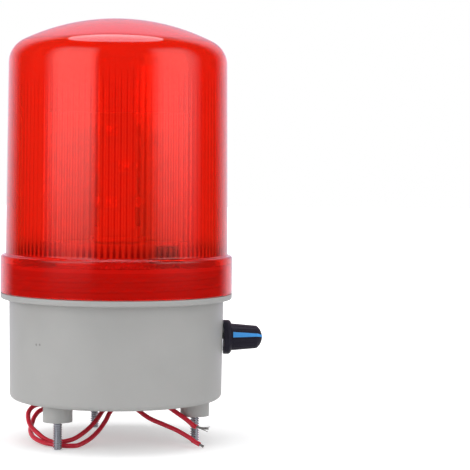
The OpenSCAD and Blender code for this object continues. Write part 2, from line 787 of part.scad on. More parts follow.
module lamp_leads() {
  color([0.8, 0.1, 0.1]) for (s = [-1, 1]) translate([s * lamp_lead_x, 0, board_top_z])
    cylinder(r = inner_lead_r, h = post_top_z - lamp_plug_h - board_top_z);
}

module motor_can() {
  color([0.7, 0.71, 0.72]) translate(drive_c) {
    translate([0, 0, motor_z]) cylinder(r = motor_r, h = motor_h);
    for (s = [-1, 1]) translate([s * terminal_offset - lug_w / 2, -lug_t / 2, motor_z - terminal_h])
      cube([lug_w, lug_t, terminal_h + sliver]);
  }
}

module motor_gearbox() {
  color([0.2, 0.2, 0.22]) difference() {
    translate(drive_c) {
      translate([0, 0, gearbox_z]) cylinder(r = gearbox_r, h = gearbox_h);
      translate([0, 0, deck_z - sliver]) cylinder(r = gearbox_collar_r, h = deck_t + sliver);
    }
    translate(drive_c) translate([0, 0, gearbox_z + gearbox_floor])
      cylinder(r = motor_shaft_r + running_gap, h = gearbox_h + deck_t);
    at_motor_screws() translate([0, 0, deck_top_z]) screw_hole(motor_screw_len);
  }
}

module motor_screws() {
  color([0.7, 0.71, 0.73]) at_motor_screws()
    translate([0, 0, deck_top_z]) screw(motor_screw_len - slip_gap);
}

module motor_shaft() {
  shaft_z = gearbox_z + gearbox_floor + end_play;
  color([0.75, 0.76, 0.78]) translate(drive_c) translate([0, 0, shaft_z])
    cylinder(r = motor_shaft_r, h = motor_shaft_top_z - shaft_z);
}

module pinion() {
  color([0.07, 0.07, 0.08]) translate(drive_c) difference() {
    union() {
      translate([0, 0, rotor_z]) rotate(pinion_phase)
        linear_extrude(height = gear_h) polygon(gear_points(pinion_teeth));
      translate([0, 0, rotor_z + gear_h - sliver])
        cylinder(r = pinion_hub_r, h = pinion_h - gear_h + sliver);
    }
    translate([0, 0, rotor_z - cut]) cylinder(r = motor_shaft_r, h = motor_shaft_top_z - rotor_z + cut);
  }
}

module motor_leads() {
  color([0.8, 0.1, 0.1]) translate(drive_c) for (s = [-1, 1])
    translate([s * terminal_offset, 0, board_top_z])
      cylinder(r = inner_lead_r, h = motor_z - terminal_h - board_top_z);
}

module circuit_board() {
  color([0.1, 0.4, 0.2]) difference() {
    translate([board_c[0] - board_x / 2, board_c[1] - board_y / 2, board_z])
      cube([board_x, board_y, board_t]);
    at_board_posts() translate([0, 0, board_top_z + cut]) screw_hole(board_t + 2 * cut);
  }
}

module board_screws() {
  color([0.7, 0.71, 0.73]) at_board_posts()
    translate([0, 0, board_top_z]) screw(board_screw_len - slip_gap);
}

module buzzer() {
  color([0.08, 0.08, 0.08]) translate([buzzer_c[0], buzzer_c[1], board_top_z]) difference() {
    cylinder(r = buzzer_r, h = buzzer_h);
    translate([0, 0, buzzer_h - buzzer_port_depth])
      cylinder(r = buzzer_port_r, h = buzzer_port_depth + cut);
  }
}

module capacitors() {
  color([0.12, 0.12, 0.3]) for (p = capacitor_places) translate([p[0], p[1], board_top_z])
    cylinder(r = capacitor_r, h = capacitor_h);
}

module driver_chip() {
  color([0.1, 0.1, 0.1]) translate([chip_c[0], chip_c[1], board_top_z + chip_size[2] / 2])
    cube(chip_size, center = true);
}

module pot_body() {
  color([0.72, 0.73, 0.74]) difference() {
    union() {
      along_knob(pot_back_x) cylinder(r = pot_r, h = pot_depth);
      along_knob(pot_pad_x - sliver) cylinder(d = pot_bush_d, h = pot_bush_end_x - pot_pad_x + sliver);
      for (i = [-1 : 1]) translate([lug_x - lug_t / 2, i * lug_pitch - lug_w / 2, lug_z])
        cube([lug_t, lug_w, lug_drop + pot_r]);
    }
    along_knob(pot_shaft_x - end_play) cylinder(r = pot_shaft_r + running_gap, h = pot_bush_end_x);
  }
}

module pot_shaft() {
  color([0.75, 0.76, 0.78]) along_knob(pot_shaft_x)
    cylinder(r = pot_shaft_r, h = pot_shaft_end_x - pot_shaft_x);
}

module pot_washer() {
  color([0.75, 0.76, 0.78]) along_knob(spot_x)
    ring(pot_bush_d / 2, pot_nut_af / 2 + slip_gap, pot_washer_t);
}

module pot_nut() {
  color([0.75, 0.76, 0.78]) along_knob(pot_nut_x) difference() {
    cylinder(d = 2 * pot_nut_af / sqrt(3), h = pot_nut_t, $fn = 6);
    translate([0, 0, -cut]) cylinder(d = pot_bush_d, h = pot_nut_t + 2 * cut);
  }
}

// Leads from the potentiometer's lugs down to the board's edge
module pot_leads() {
  edge_x = board_c[0] + board_x / 2 - pot_lead_inset;
  rest_z = board_top_z + pot_lead_bend;
  color([0.15, 0.15, 0.16]) for (i = [-1 : 1]) translate([0, i * lug_pitch, 0])
    tube([
      [lug_x, 0, lug_z], [lug_x, 0, lug_z - pot_lead_bend],
      [lug_x - pot_lead_bend, 0, lug_z - 2 * pot_lead_bend], [(lug_x + edge_x) / 2, 0, rest_z],
      [edge_x + pot_lead_bend, 0, rest_z], [edge_x, 0, rest_z - pot_lead_bend / 2], [edge_x, 0, board_top_z]
    ], inner_lead_r / 2);
}

// Outline of the knob, grown by a small amount: axial distance runs along +Y here
module knob_profile(grow) {
  grip_r = knob_grip_d / 2 + grow;
  end_r = knob_end_d / 2 + grow;
  skirt_r = knob_d / 2;
  length = knob_len + grow;
  cap_foot = length - knob_cap_h;
  cap_r = cap_radius(end_r, knob_cap_h);
  difference() {
    union() {
      polygon([[0, 0], [grip_r, 0], [grip_r, knob_skirt_h], [end_r, cap_foot], [0, cap_foot]]);
      intersection() {
        translate([0, length - cap_r]) circle(r = cap_r);
        square([end_r, length + cut]);
      }
      square([skirt_r, knob_skirt_h]);
    }
    corner_piece([skirt_r, knob_skirt_h], [-1, -1], skirt_r - grip_r);
  }
}

// Space of the pointer: a wedge along the grip, and a strip over the end cap to the knob's axis
module pointer_space() {
  rotate(-pointer_turn) {
    translate([0, -pointer_depth_r, 0]) rotate([90, 0, 0]) linear_extrude(height = knob_d) polygon([
      [-pointer_w / 2, knob_skirt_h + pointer_start], [pointer_w / 2, knob_skirt_h + pointer_start],
      [pointer_tip_w / 2, knob_len + cut], [-pointer_tip_w / 2, knob_len + cut]
    ]);
    translate([-pointer_tip_w / 2, -pointer_depth_r - pointer_lap, knob_len - pointer_cap_t])
      cube([pointer_tip_w, pointer_depth_r + 2 * pointer_lap, knob_cap_h]);
  }
}

module knob() {
  taper = atan((knob_grip_d - knob_end_d) / 2 / knob_grip_len);
  color([0.08, 0.08, 0.1]) along_knob(knob_x) difference() {
    rotate_extrude() knob_profile(0);
    for (i = [0 : groove_count - 1]) rotate(360 * (i + 0.5) / groove_count)
      translate([knob_grip_d / 2, 0, knob_skirt_h]) rotate([0, -taper, 0])
        translate([groove_out, 0, groove_start]) cylinder(r = groove_r, h = groove_len);
    pointer_space();
    translate([0, 0, -cut]) cylinder(r = knob_recess_r, h = knob_recess_h + cut);
    cylinder(r = pot_shaft_r, h = knob_len - knob_cap_t);
  }
}

module knob_pointer() {
  color([0.2, 0.55, 0.9]) along_knob(knob_x) intersection() {
    rotate_extrude() knob_profile(pointer_proud);
    pointer_space();
  }
}

module wire_grommet() {
  color([0.12, 0.12, 0.12]) translate(grommet_c) {
    translate([0, 0, lead_exit_z]) cylinder(r = grommet_r, h = grommet_rim_t);
    translate([0, 0, floor_z - sliver]) cylinder(r = lead_hole_r, h = base_floor + 2 * sliver);
    translate([0, 0, inner_z]) cylinder(r = grommet_r, h = grommet_flange_t);
  }
}

module supply_leads() {
  color([0.8, 0.05, 0.08]) for (y = [lead_exit_y_a, lead_exit_y_b])
    translate([lead_exit_x, y, inner_z + grommet_flange_t])
      cylinder(r = lead_r, h = board_rise - grommet_flange_t);
}

module lead_wire(route) {
  color([0.8, 0.05, 0.1]) tube(route, lead_r);
}

// Bare strands, straight on from the end of a lead
module lead_tip(route, length) {
  end = last(route);
  dir = unit(end - route[len(route) - 2]);
  color([0.72, 0.7, 0.66]) tube([end, end + dir * length / 2, end + dir * length], strand_r);
}

module lead_wire_a() { lead_wire(lead_route_a); }
module lead_wire_b() { lead_wire(lead_route_b); }
module lead_tip_a() { lead_tip(lead_route_a, strand_len_a); }
module lead_tip_b() { lead_tip(lead_route_b, strand_len_b); }

base_housing();
mounting_bolts();
lens();
lens_seal();
deck();
deck_screws();
thrust_washer();
rotor_gear();
rotor_bush();
reflector();
reflector_screws();
lamp_base();
lamp_boards();
led_chips();
lamp_cap();
lamp_leads();
motor_can();
motor_gearbox();
motor_screws();
motor_shaft();
pinion();
motor_leads();
circuit_board();
board_screws();
buzzer();
capacitors();
driver_chip();
pot_body();
pot_shaft();
pot_washer();
pot_nut();
pot_leads();
knob();
knob_pointer();
wire_grommet();
supply_leads();
lead_wire_a();
lead_wire_b();
lead_tip_a();
lead_tip_b();
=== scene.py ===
import json
import math

import bpy
import numpy as np
from mathutils import Matrix, Vector


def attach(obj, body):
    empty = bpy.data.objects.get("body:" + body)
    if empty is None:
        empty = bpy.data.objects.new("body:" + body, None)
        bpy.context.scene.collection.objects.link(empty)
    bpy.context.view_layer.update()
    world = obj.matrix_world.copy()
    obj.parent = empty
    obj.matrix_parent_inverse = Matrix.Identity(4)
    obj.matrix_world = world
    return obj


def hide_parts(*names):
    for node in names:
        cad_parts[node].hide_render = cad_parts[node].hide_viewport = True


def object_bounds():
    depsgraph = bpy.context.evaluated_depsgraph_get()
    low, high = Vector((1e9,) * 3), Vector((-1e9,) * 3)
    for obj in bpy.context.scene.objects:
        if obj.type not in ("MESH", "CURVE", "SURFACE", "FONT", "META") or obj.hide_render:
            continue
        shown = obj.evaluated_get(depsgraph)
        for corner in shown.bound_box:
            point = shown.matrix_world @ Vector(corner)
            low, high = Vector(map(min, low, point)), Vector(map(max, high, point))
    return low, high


MM = 0.001

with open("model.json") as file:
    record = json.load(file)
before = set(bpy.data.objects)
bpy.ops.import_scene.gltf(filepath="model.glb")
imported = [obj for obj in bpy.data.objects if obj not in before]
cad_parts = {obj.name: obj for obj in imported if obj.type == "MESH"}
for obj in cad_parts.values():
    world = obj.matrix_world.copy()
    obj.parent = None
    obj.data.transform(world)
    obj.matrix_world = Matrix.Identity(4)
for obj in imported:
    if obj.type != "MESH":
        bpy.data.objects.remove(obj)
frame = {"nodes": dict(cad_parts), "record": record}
cad_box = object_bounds()
nodes = frame["nodes"]
scene = bpy.context.scene


# Camera: fitted to the photograph's 470 by 470 frame
IMAGE_SIDE = 470
FOCAL_PIXELS = 1614
SENSOR = 36
CAMERA_PLACE = Vector((0, -0.701, 0.1076))
CAMERA_YAW, CAMERA_PITCH, CAMERA_ROLL = (math.radians(a) for a in (4.176, 2.441, 0.623))


def make_camera():
    data = bpy.data.cameras.new("camera")
    data.sensor_width = SENSOR
    data.lens = FOCAL_PIXELS / IMAGE_SIDE * SENSOR
    camera = bpy.data.objects.new("camera", data)
    scene.collection.objects.link(camera)
    turn = (
        Matrix.Rotation(-CAMERA_YAW, 4, "Z")
        @ Matrix.Rotation(math.pi / 2 - CAMERA_PITCH, 4, "X")
        @ Matrix.Rotation(CAMERA_ROLL, 4, "Z")
    )
    camera.matrix_world = Matrix.Translation(CAMERA_PLACE) @ turn
    scene.camera = camera


# Shader nodes
class Nodes:
    """A shader's node tree, with short ways to add nodes and to feed their sockets."""

    def __init__(self, tree):
        self.tree = tree

    def add(self, kind, **settings):
        node = self.tree.nodes.new(kind)
        for name, value in settings.items():
            setattr(node, name, value)
        return node

    def feed(self, target, value):
        """value is a number or colour, or the output that feeds the socket."""
        if isinstance(value, bpy.types.NodeSocket):
            self.tree.links.new(value, target)
        else:
            target.default_value = value

    def fed(self, node, *values):
        """The node's outputs, after its inputs have been fed in their order."""
        for socket, value in zip(node.inputs, values):
            self.feed(socket, value)
        return node.outputs

    def math(self, operation, *values):
        return self.fed(self.add("ShaderNodeMath", operation=operation), *values)["Value"]

    def vector_math(self, operation, *values):
        """Outputs of a vector node: Vector, or Value for a length or a distance."""
        return self.fed(self.add("ShaderNodeVectorMath", operation=operation), *values)

    def split(self, vector):
        """Outputs X, Y and Z of a vector."""
        return self.fed(self.add("ShaderNodeSeparateXYZ"), vector)

    def spread(self, value, low, high, start=0.3, end=0.7, ease="LINEAR"):
        """Maps value's start to end onto low to high."""
        ranged = self.add("ShaderNodeMapRange", interpolation_type=ease)
        return self.fed(ranged, value, start, end, low, high)["Result"]

    def mix(self, factor, one, two):
        """Colour one where factor is 0 and colour two where it is 1."""
        mixed = self.add("ShaderNodeMix", data_type="RGBA")
        self.feed(mixed.inputs["Factor"], factor)
        for name, color in (("A", one), ("B", two)):
            socket = next(s for s in mixed.inputs if s.name == name and s.type == "RGBA")
            self.feed(socket, color if isinstance(color, bpy.types.NodeSocket) else (*color, 1))
        return next(s for s in mixed.outputs if s.type == "RGBA")


# Share of its radius at which a round mark's edge starts
MARK_EDGE = 0.7


class Surface(Nodes):
    """A Principled material whose sockets can be fed from procedural textures."""

    def __init__(self, name, color, roughness, **sockets):
        self.name = name
        self.material = bpy.data.materials.new(name)
        self.material.use_nodes = True
        super().__init__(self.material.node_tree)
        self.bsdf = self.tree.nodes["Principled BSDF"]
        self.set("Base Color", (*color, 1))
        self.set("Roughness", roughness)
        for socket, value in sockets.items():
            self.set(socket.replace("_", " "), value)
        self.place = self.add("ShaderNodeTexCoord").outputs["Object"]

    def set(self, socket, value):
        self.feed(self.bsdf.inputs[socket], value)

    def noise(self, grain, detail=3, stretch=(1, 1, 1)):
        """Noise from 0 to 1 whose features are about grain metres wide, longer along stretch."""
        mapping = self.add("ShaderNodeMapping")
        self.feed(mapping.inputs["Vector"], self.place)
        self.feed(mapping.inputs["Scale"], [1 / s for s in stretch])
        texture = self.add("ShaderNodeTexNoise")
        self.feed(texture.inputs["Vector"], mapping.outputs["Vector"])
        self.feed(texture.inputs["Scale"], 1 / grain)
        self.feed(texture.inputs["Detail"], detail)
        return texture.outputs["Fac"]

    def near(self, centre, radius, ragged):
        """1 within radius of a point of the row frame and 0 beyond. Noise frays the edge by ragged."""
        distance = self.vector_math("DISTANCE", self.place, centre)["Value"]
        frayed = self.math("MULTIPLY_ADD", self.noise(radius, 2), ragged, distance)
        return self.spread(frayed, 1.0, 0.0, radius * MARK_EDGE, radius)

    def bump(self, height, depth):
        bump = self.add("ShaderNodeBump")
        self.feed(bump.inputs["Height"], height)
        self.feed(bump.inputs["Distance"], depth)
        self.set("Normal", bump.outputs["Normal"])


# Materials
# Patches of plastic: their width and their least and most roughness, as shares of the plain value
PATCH_GRAIN, PATCH_ROUGHNESS = 18 * MM, (0.85, 1.2)
# Clouds on metal: the same, and the shade of the dull ones; width of its scratches
CLOUD_GRAIN, CLOUD_ROUGHNESS, CLOUD_SHADE = 6 * MM, (0.7, 1.4), 0.85
SCRATCH_GRAIN = 0.4 * MM


def moulded(name, color, roughness, shade=0.06, grain=1.2 * MM, depth=0.02 * MM, **sockets):
    """Moulded plastic or rubber: a fine grain, uneven gloss and faint patches of another shade."""
    surface = Surface(name, color, roughness, **sockets)
    patches = surface.noise(PATCH_GRAIN, 4)
    darker = [c * (1 - shade) for c in color]
    lighter = [min(1, c * (1 + shade)) for c in color]
    surface.set("Base Color", surface.mix(surface.spread(patches, 0, 1), darker, lighter))
    least, most = (min(1, roughness * share) for share in PATCH_ROUGHNESS)
    surface.set("Roughness", surface.spread(patches, least, most))
    surface.bump(surface.noise(grain, 2), depth)
    return surface


def metal(name, color, roughness, brushed=(1, 1, 1), depth=0.01 * MM, metallic=1.0):
    """Plated or bare metal: fine scratches along brushed and cloudy gloss."""
    surface = Surface(name, color, roughness, Metallic=metallic)
    clouds = surface.noise(CLOUD_GRAIN, 4)
    dull = [c * CLOUD_SHADE for c in color]
    surface.set("Base Color", surface.mix(surface.spread(clouds, 0, 1), dull, color))
    least, most = (roughness * share for share in CLOUD_ROUGHNESS)
    surface.set("Roughness", surface.spread(clouds, least, most))
    surface.bump(surface.noise(SCRATCH_GRAIN, 2, brushed), depth)
    return surface


# Dark specks on the base's wall, in millimetres
BASE_SPECKS = ((-33.15, -32.18, 32.98), (-31.64, -33.66, 33.11))
SPECK_R, SPECK_RAGGED, SPECK_COLOR = 0.9, 0.5, (0.24, 0.24, 0.23)


def base_grey():
    surface = moulded("base_grey", (0.40, 0.40, 0.39), 0.42, shade=0.025)
    color = surface.bsdf.inputs["Base Color"].links[0].from_socket
    for place in BASE_SPECKS:
        speck = surface.near([c * MM for c in place], SPECK_R * MM, SPECK_RAGGED * MM)
        color = surface.mix(speck, color, SPECK_COLOR)
    surface.set("Base Color", color)
    return surface


# Lens: one moulding with a smooth outside and a fluted inside, in millimetres
RIM_R = 50.0
SKIRT_Z, SEAT_Z, LEDGE_Z = 52.7, 65.5, 68.9
SKIRT_INNER_R, SEAT_BEVEL = 47.8, 0.2
COLLAR_EDGE_R, SKIRT_EDGE_R, FILLET_R = 1.1, 0.3, 0.9
DOME_FOOT_R, DOME_TOP_R = 47.9, 47.0
SHOULDER_Z, SHOULDER_C, SHOULDER_R, SHOULDER_ANGLE = 150.96, 36.0, 11.0, 63.61
CROWN_Z, CROWN_R = 78.4, 92.0
LENS_WALL = 2.4
HOLLOW_R, FLUTE_ROOT_R, FLUTE_DEPTH = 44.6, 44.3, 0.07
FLUTE_Z, FLUTE_TOP_Z, FLUTE_FADE = 69.2, 151.0, 14.0
FLUTES, FLUTE_STEPS = 120, 6
# Below the flutes, the stretch that widens to the hollow. At their lower ends, the stretch with close
# rings, the spacing of those and the height over which a rib comes up
FLUTE_FOOT, FLUTE_END, FLUTE_END_STEP, FLUTE_END_RISE = 0.4, 2.2, 0.25, 0.5
# Above the lower ends, where the wide rings start and their number, and the rings of the fade at the top
FLUTE_PLAIN, FLUTE_RINGS, FADE_RINGS = 2.5, 4, (0.2, 0.4, 0.6, 0.8)
# Rings close to a flat wall's ends, as shares of the dome's wall and as a distance on the collar's. They
# keep the shading flat next to the rounded edges
DOME_RINGS, COLLAR_RING = (0.05, 0.5, 0.95, 0.997), 0.25

# Its reds: on the collar, deeper there as painted shade, and the crown, between ribs, along ribs from
# high to low, and at their feet, darkened there as painted shade
LENS_COLLAR_SHADE, LENS_CROWN = (0.86, 0.026, 0.014), (0.92, 0.054, 0.018)
LENS_THIN = (0.97, 0.061, 0.018)
RIB_HIGH, RIB_LOW, RIB_FOOT_SHADE = (0.74, 0.02, 0.008), (0.70, 0.016, 0.007), (0.34, 0.006, 0.002)
# Heights over which the ribs' colour comes in, changes and fades out, and over which their feet are
# darkened by painted shade
RIB_START, RIB_REACH, RIB_FADE, FOOT_SHADE_REACH = 1.0, 55.0, 15.0, (2.0, 7.2)
# Across a flute, from 0 between two ribs to 1 on a rib: where a rib's line and the painted shade at its
# foot start and are full, and where the fainter line between ribs is full and ends
RIB_LINE, FOOT_SHADE_LINE, ROOT_LINE, ROOT_LINE_SHARE = (0.6, 0.95), (0.3, 0.6), (0.05, 0.35), 0.5
# Patches of the painted shade at the feet: width, least and full strength, and the noise at which they
# start and are full
FOOT_SHADE_GRAIN, FOOT_SHADE_STRENGTH, FOOT_SHADE_NOISE = 12.0, (0.55, 1.0), (0.42, 0.58)
LENS_CLEAR, LENS_IOR, LENS_ROUGHNESS = 0.85, 1.49, 0.03
# Clouds in its gloss: width, stretch upwards and roughness. Waves on its surface: width and depth
LENS_CLOUD, LENS_STRETCH, LENS_CLOUD_ROUGHNESS = 9.0, (1, 1, 4), (0.015, 0.05)
LENS_WAVE, LENS_WAVE_DEPTH = 30.0, 0.02


def lens_red():
    """Clear red plastic, slightly cloudy, and deeper red along the ribs, which thicken downwards.
    Painted shade darkens the ribs' feet and the collar.
    """
    surface = Surface(
        "lens_red", LENS_THIN, LENS_ROUGHNESS, Transmission_Weight=LENS_CLEAR, IOR=LENS_IOR
    )
    place = surface.split(surface.place)
    turn = surface.math("ARCTAN2", place["Y"], place["X"])
    across = surface.math("PINGPONG", surface.math("MULTIPLY", turn, FLUTES / math.pi), 1.0)

    def rise(low, high, start, end):
        """Goes from low to high between two heights in millimetres."""
        return surface.spread(place["Z"], low, high, start * MM, end * MM)

    fluted = surface.math(
        "MULTIPLY",
        rise(0.0, 1.0, FLUTE_Z, FLUTE_Z + RIB_START),
        rise(1.0, 0.0, FLUTE_TOP_Z - RIB_FADE, FLUTE_TOP_Z),
    )
    rib = surface.mix(rise(0.0, 1.0, FLUTE_Z, FLUTE_Z + RIB_REACH), RIB_LOW, RIB_HIGH)
    line = surface.math(
        "MAXIMUM",
        surface.spread(across, 0.0, 1.0, *RIB_LINE),
        surface.spread(across, ROOT_LINE_SHARE, 0.0, *ROOT_LINE),
    )
    flutes = surface.mix(line, LENS_THIN, rib)
    # Painted shade: the ribs' feet are darkened in patches
    foot_shade = rise(1.0, 0.0, *(FLUTE_Z + reach for reach in FOOT_SHADE_REACH))
    patches = surface.noise(FOOT_SHADE_GRAIN * MM, 1, LENS_STRETCH)
    patches = surface.spread(patches, *FOOT_SHADE_STRENGTH, *FOOT_SHADE_NOISE)
    patches = surface.math("MULTIPLY", patches, surface.spread(across, 0.0, 1.0, *FOOT_SHADE_LINE))
    flutes = surface.mix(surface.math("MULTIPLY", foot_shade, patches), flutes, RIB_FOOT_SHADE)
    # Painted shade: the collar is a deeper red than the crown
    plain = surface.mix(rise(0.0, 1.0, LEDGE_Z, FLUTE_TOP_Z), LENS_COLLAR_SHADE, LENS_CROWN)
    surface.set("Base Color", surface.mix(fluted, plain, flutes))
    clouds = surface.noise(LENS_CLOUD * MM, 3, LENS_STRETCH)
    surface.set("Roughness", surface.spread(clouds, *LENS_CLOUD_ROUGHNESS))
    surface.bump(surface.noise(LENS_WAVE * MM, 1), LENS_WAVE_DEPTH * MM)
    return surface


# Finish of each slot: its name, colour and roughness, and what sets it apart
FINISHES = (
    base_grey(),
    lens_red(),
    metal("zinc_steel", (0.60, 0.61, 0.65), 0.16, depth=0.002 * MM),
    moulded("seal_rubber", (0.035, 0.035, 0.035), 0.65),
    moulded("seal_silicone", (0.56, 0.56, 0.54), 0.5),
    moulded("deck_white", (0.85, 0.85, 0.82), 0.45),
    moulded("gear_grey", (0.60, 0.60, 0.60), 0.45),
    moulded("gear_black", (0.022, 0.022, 0.025), 0.4),
    metal("bronze", (0.62, 0.43, 0.20), 0.38),
    metal("mirror_plating", (0.96, 0.96, 0.96), 0.45, depth=0.002 * MM, metallic=0.2),
    moulded("lamp_white", (0.60, 0.60, 0.57), 0.4),
    moulded("chip_yellow", (0.75, 0.66, 0.34), 0.25, shade=0.12, grain=0.3 * MM),
    metal("motor_steel", (0.62, 0.63, 0.65), 0.3, brushed=(1, 1, 5)),
    moulded("board_green", (0.03, 0.16, 0.06), 0.3, shade=0.2),
    moulded("capacitor_blue", (0.02, 0.03, 0.12), 0.3),
    moulded("lead_red", (0.68, 0.014, 0.04), 0.35, shade=0.1),
    moulded("lead_black", (0.02, 0.02, 0.02), 0.4),
    metal("strand_tin", (0.42, 0.41, 0.40), 0.3),
    moulded("knob_black", (0.022, 0.02, 0.031), 0.35, grain=0.6 * MM, Specular_IOR_Level=0.06),
    moulded("pointer_blue", (0.05, 0.33, 0.80), 0.35),
)
materials = {finish.name: finish.material for finish in FINISHES}
for part in frame["record"]["subparts"]:
    shown = nodes[part["node"]].data
    shown.materials.clear()
    shown.materials.append(materials[part["material_slot"]])


# Meshes
def circle(count):
    """Angles of count points round a circle."""
    return 2 * math.pi * np.arange(count) / count


def around(radius, turn, z):
    """The point at a radius, angle and height."""
    return radius * math.cos(turn), radius * math.sin(turn), z


def arc(centre, radius, start, end, steps):
    """Points of a circle in the plane of a profile, from angle start to end in degrees."""
    return [
        (centre[0] + radius * math.cos(a), centre[1] + radius * math.sin(a))
        for a in np.radians(np.linspace(start, end, steps + 1))
    ]


def wall_faces(rings, sides):
    """Quads between each ring of points and the next."""
    faces = []
    for start in range(0, (rings - 1) * sides, sides):
        for j in range(sides):
            k = (j + 1) % sides
            faces.append((start + j, start + k, start + sides + k, start + sides + j))
    return faces


def solid_faces(rings, sides):
    """Quads between rings of points, and a face across the first ring and the last."""
    last = (rings - 1) * sides
    ends = [tuple(reversed(range(sides))), tuple(range(last, last + sides))]
    return wall_faces(rings, sides) + ends


def turned_over(faces):
    """The same faces, looking the other way."""
    return [face[::-1] for face in faces]


class Pieces:
    """Collects the points and faces of several bodies that make one mesh."""

    def __init__(self):
        self.points, self.faces = [], []

    def take(self, points, faces):
        start = len(self.points)
        self.points.extend(points)
        self.faces.extend(tuple(start + i for i in face) for face in faces)


def add_mesh(name, points, faces, slot, body, replaced=(), smooth_angle=40):
    """A piece from points in metres in the row frame. It rides on a body and takes a slot's finish."""
    mesh = bpy.data.meshes.new(name)
    mesh.from_pydata([tuple(p) for p in points], [], faces)
    mesh.validate()
    mesh.shade_smooth()
    mesh.set_sharp_from_angle(angle=math.radians(smooth_angle))
    mesh.materials.append(materials[slot])
    piece = bpy.data.objects.new(name, mesh)
    scene.collection.objects.link(piece)
    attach(piece, body)
    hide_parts(*replaced)
    return piece


# A direction that no tube starts along
SIDEWAYS = (0.31, 0.87, 0.38)


def tube(route, radius, sides):
    """Points and faces of a closed tube along a route, its rings carried on without twist."""
    route = np.array(route, float)
    ahead = np.gradient(route, axis=0)
    ahead /= np.linalg.norm(ahead, axis=1)[:, None]
    across = np.cross(ahead[0], SIDEWAYS)
    turns = circle(sides)
    points = []
    for place, along in zip(route, ahead):
        across -= along * (across @ along)
        across /= np.linalg.norm(across)
        beside = np.cross(along, across)
        points.extend(place + radius * (math.cos(t) * across + math.sin(t) * beside) for t in turns)
    return points, solid_faces(len(route), sides)


# Supply leads: the routes of the CAD solids, in millimetres
LEAD_D = 2.0 * MM
LEAD_STEPS, LEAD_ROUNDNESS = 6, 4
LEAD_ROUTES = {
    "a": [
        (-10, 14, 6.4), (-10, 14, 5), (-10.5, 14, 3.5), (-12, 14, 2), (-15, 13.5, 1.2), (-20, 12.5, 1.5),
        (-26, 11, 2), (-31.5, 9, 2.2), (-35, 7, 2), (-37, 4, 1), (-38, 1, -0.8), (-37.5, -3, -3.5),
        (-36, -6.5, -5.5), (-34, -9.5, -6.9), (-30.4, -13, -9.2), (-26.4, -16.7, -10.2),
        (-22.5, -17.6, -9.9), (-17.5, -15, -9), (-12.5, -10, -6.3), (-8.5, -3, -3.2), (-6, 4, -0.4),
        (-3, 9.5, 2), (1.5, 12.5, 3.8), (7, 12.5, 4.8), (12, 9.5, 5.2), (16.5, 4.5, 5), (20, -1.5, 4.3),
        (23, -7.5, 3.2), (25.5, -12, 2), (29.8, -16, -0.5), (33, -18.3, -2.9), (34.2, -19, -3.4),
    ],
    "b": [
        (-10, 17.5, 6.4), (-10, 17.5, 5), (-10.5, 17.5, 3.2), (-12, 17.5, 1.6), (-15, 17.5, 0.6),
        (-20, 17, 0.2), (-25.5, 15, 0.2), (-30, 12.5, 0), (-33.5, 9, -0.8), (-35.5, 6, -2.9),
        (-36.2, 3, -4.8), (-36.8, -0.5, -6.6), (-36.6, -4.5, -8), (-34.8, -10.5, -9.4),
        (-30.5, -17, -10.3), (-26.5, -20, -10.6), (-22.5, -21.3, -10.9), (-19, -22, -10.9),
        (-15.5, -20.5, -10.8), (-11, -15, -9.2), (-7.2, -8.5, -6.5), (-4.4, -3, -3.2), (-2.4, 2, -0.1),
        (0.5, 5.5, 2.2), (4.5, 6.5, 3.2), (7.5, 4.2, 2.6), (9.5, -0.5, 1.1), (14.5, -7, -1.6),
        (21, -11.5, -3.8), (26, -15, -5.5), (31, -18.5, -7.9), (33.3, -20.3, -9.4), (35.5, -22, -10.4),
    ],
}
# Bare strands at each lead's end: length, number, how far they fan out and how far they bend up
STRANDS = {"a": (6.5 * MM, 7, 0.9 * MM, 1.3 * MM), "b": (2.5 * MM, 7, 0.1 * MM, 0)}
STRAND_R, STRAND_SIDES, STRAND_STEPS = 0.17 * MM, 8, 8
# Distance of the outer strands from the middle one, how far strands start inside the insulation and how
# far they twist. In each three, every strand is shorter than the one before by STRAND_TRIM of the length
STRAND_RING, STRAND_INSET, STRAND_TWIST, STRAND_TRIM = 2.1 * STRAND_R, 0.3 * MM, 1.2, 0.05
# Each outer strand's share of the fan: it swings about a middle one as the strand's number grows
FAN_MIDDLE, FAN_SWING, FAN_TURN = 0.4, 0.6, 2.4
FAN_POWER, LIFT_POWER = 2, 1.5


def smooth_route(points, steps):
    """A Catmull-Rom curve through points, with steps on each stretch."""
    p = np.array(points, float)
    p = np.vstack([2 * p[0] - p[1], p, 2 * p[-1] - p[-2]])
    route = []
    for a, b, c, d in zip(p, p[1:], p[2:], p[3:]):
        square, cube = 2 * a - 5 * b + 4 * c - d, 3 * b - a - 3 * c + d
        for t in np.arange(steps) / steps:
            route.append(0.5 * (2 * b + (c - a) * t + square * t**2 + cube * t**3))
    route.append(p[-2])
    return np.array(route)


def make_lead(key):
    route = smooth_route(LEAD_ROUTES[key], LEAD_STEPS) * MM
    curve = bpy.data.curves.new(f"lead_{key}", "CURVE")
    curve.dimensions = "3D"
    curve.bevel_depth = LEAD_D / 2
    curve.bevel_resolution = LEAD_ROUNDNESS
    curve.use_fill_caps = True
    spline = curve.splines.new("POLY")
    spline.points.add(len(route) - 1)
    spline.points.foreach_set("co", np.hstack([route, np.ones((len(route), 1))]).ravel())
    curve.materials.append(materials["lead_red"])
    lead = bpy.data.objects.new(f"lead_{key}", curve)
    scene.collection.objects.link(lead)
    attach(lead, "base")
    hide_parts(f"lead_wire_{key}")
    strands = make_strands(key, route[-1], route[-1] - route[-2])


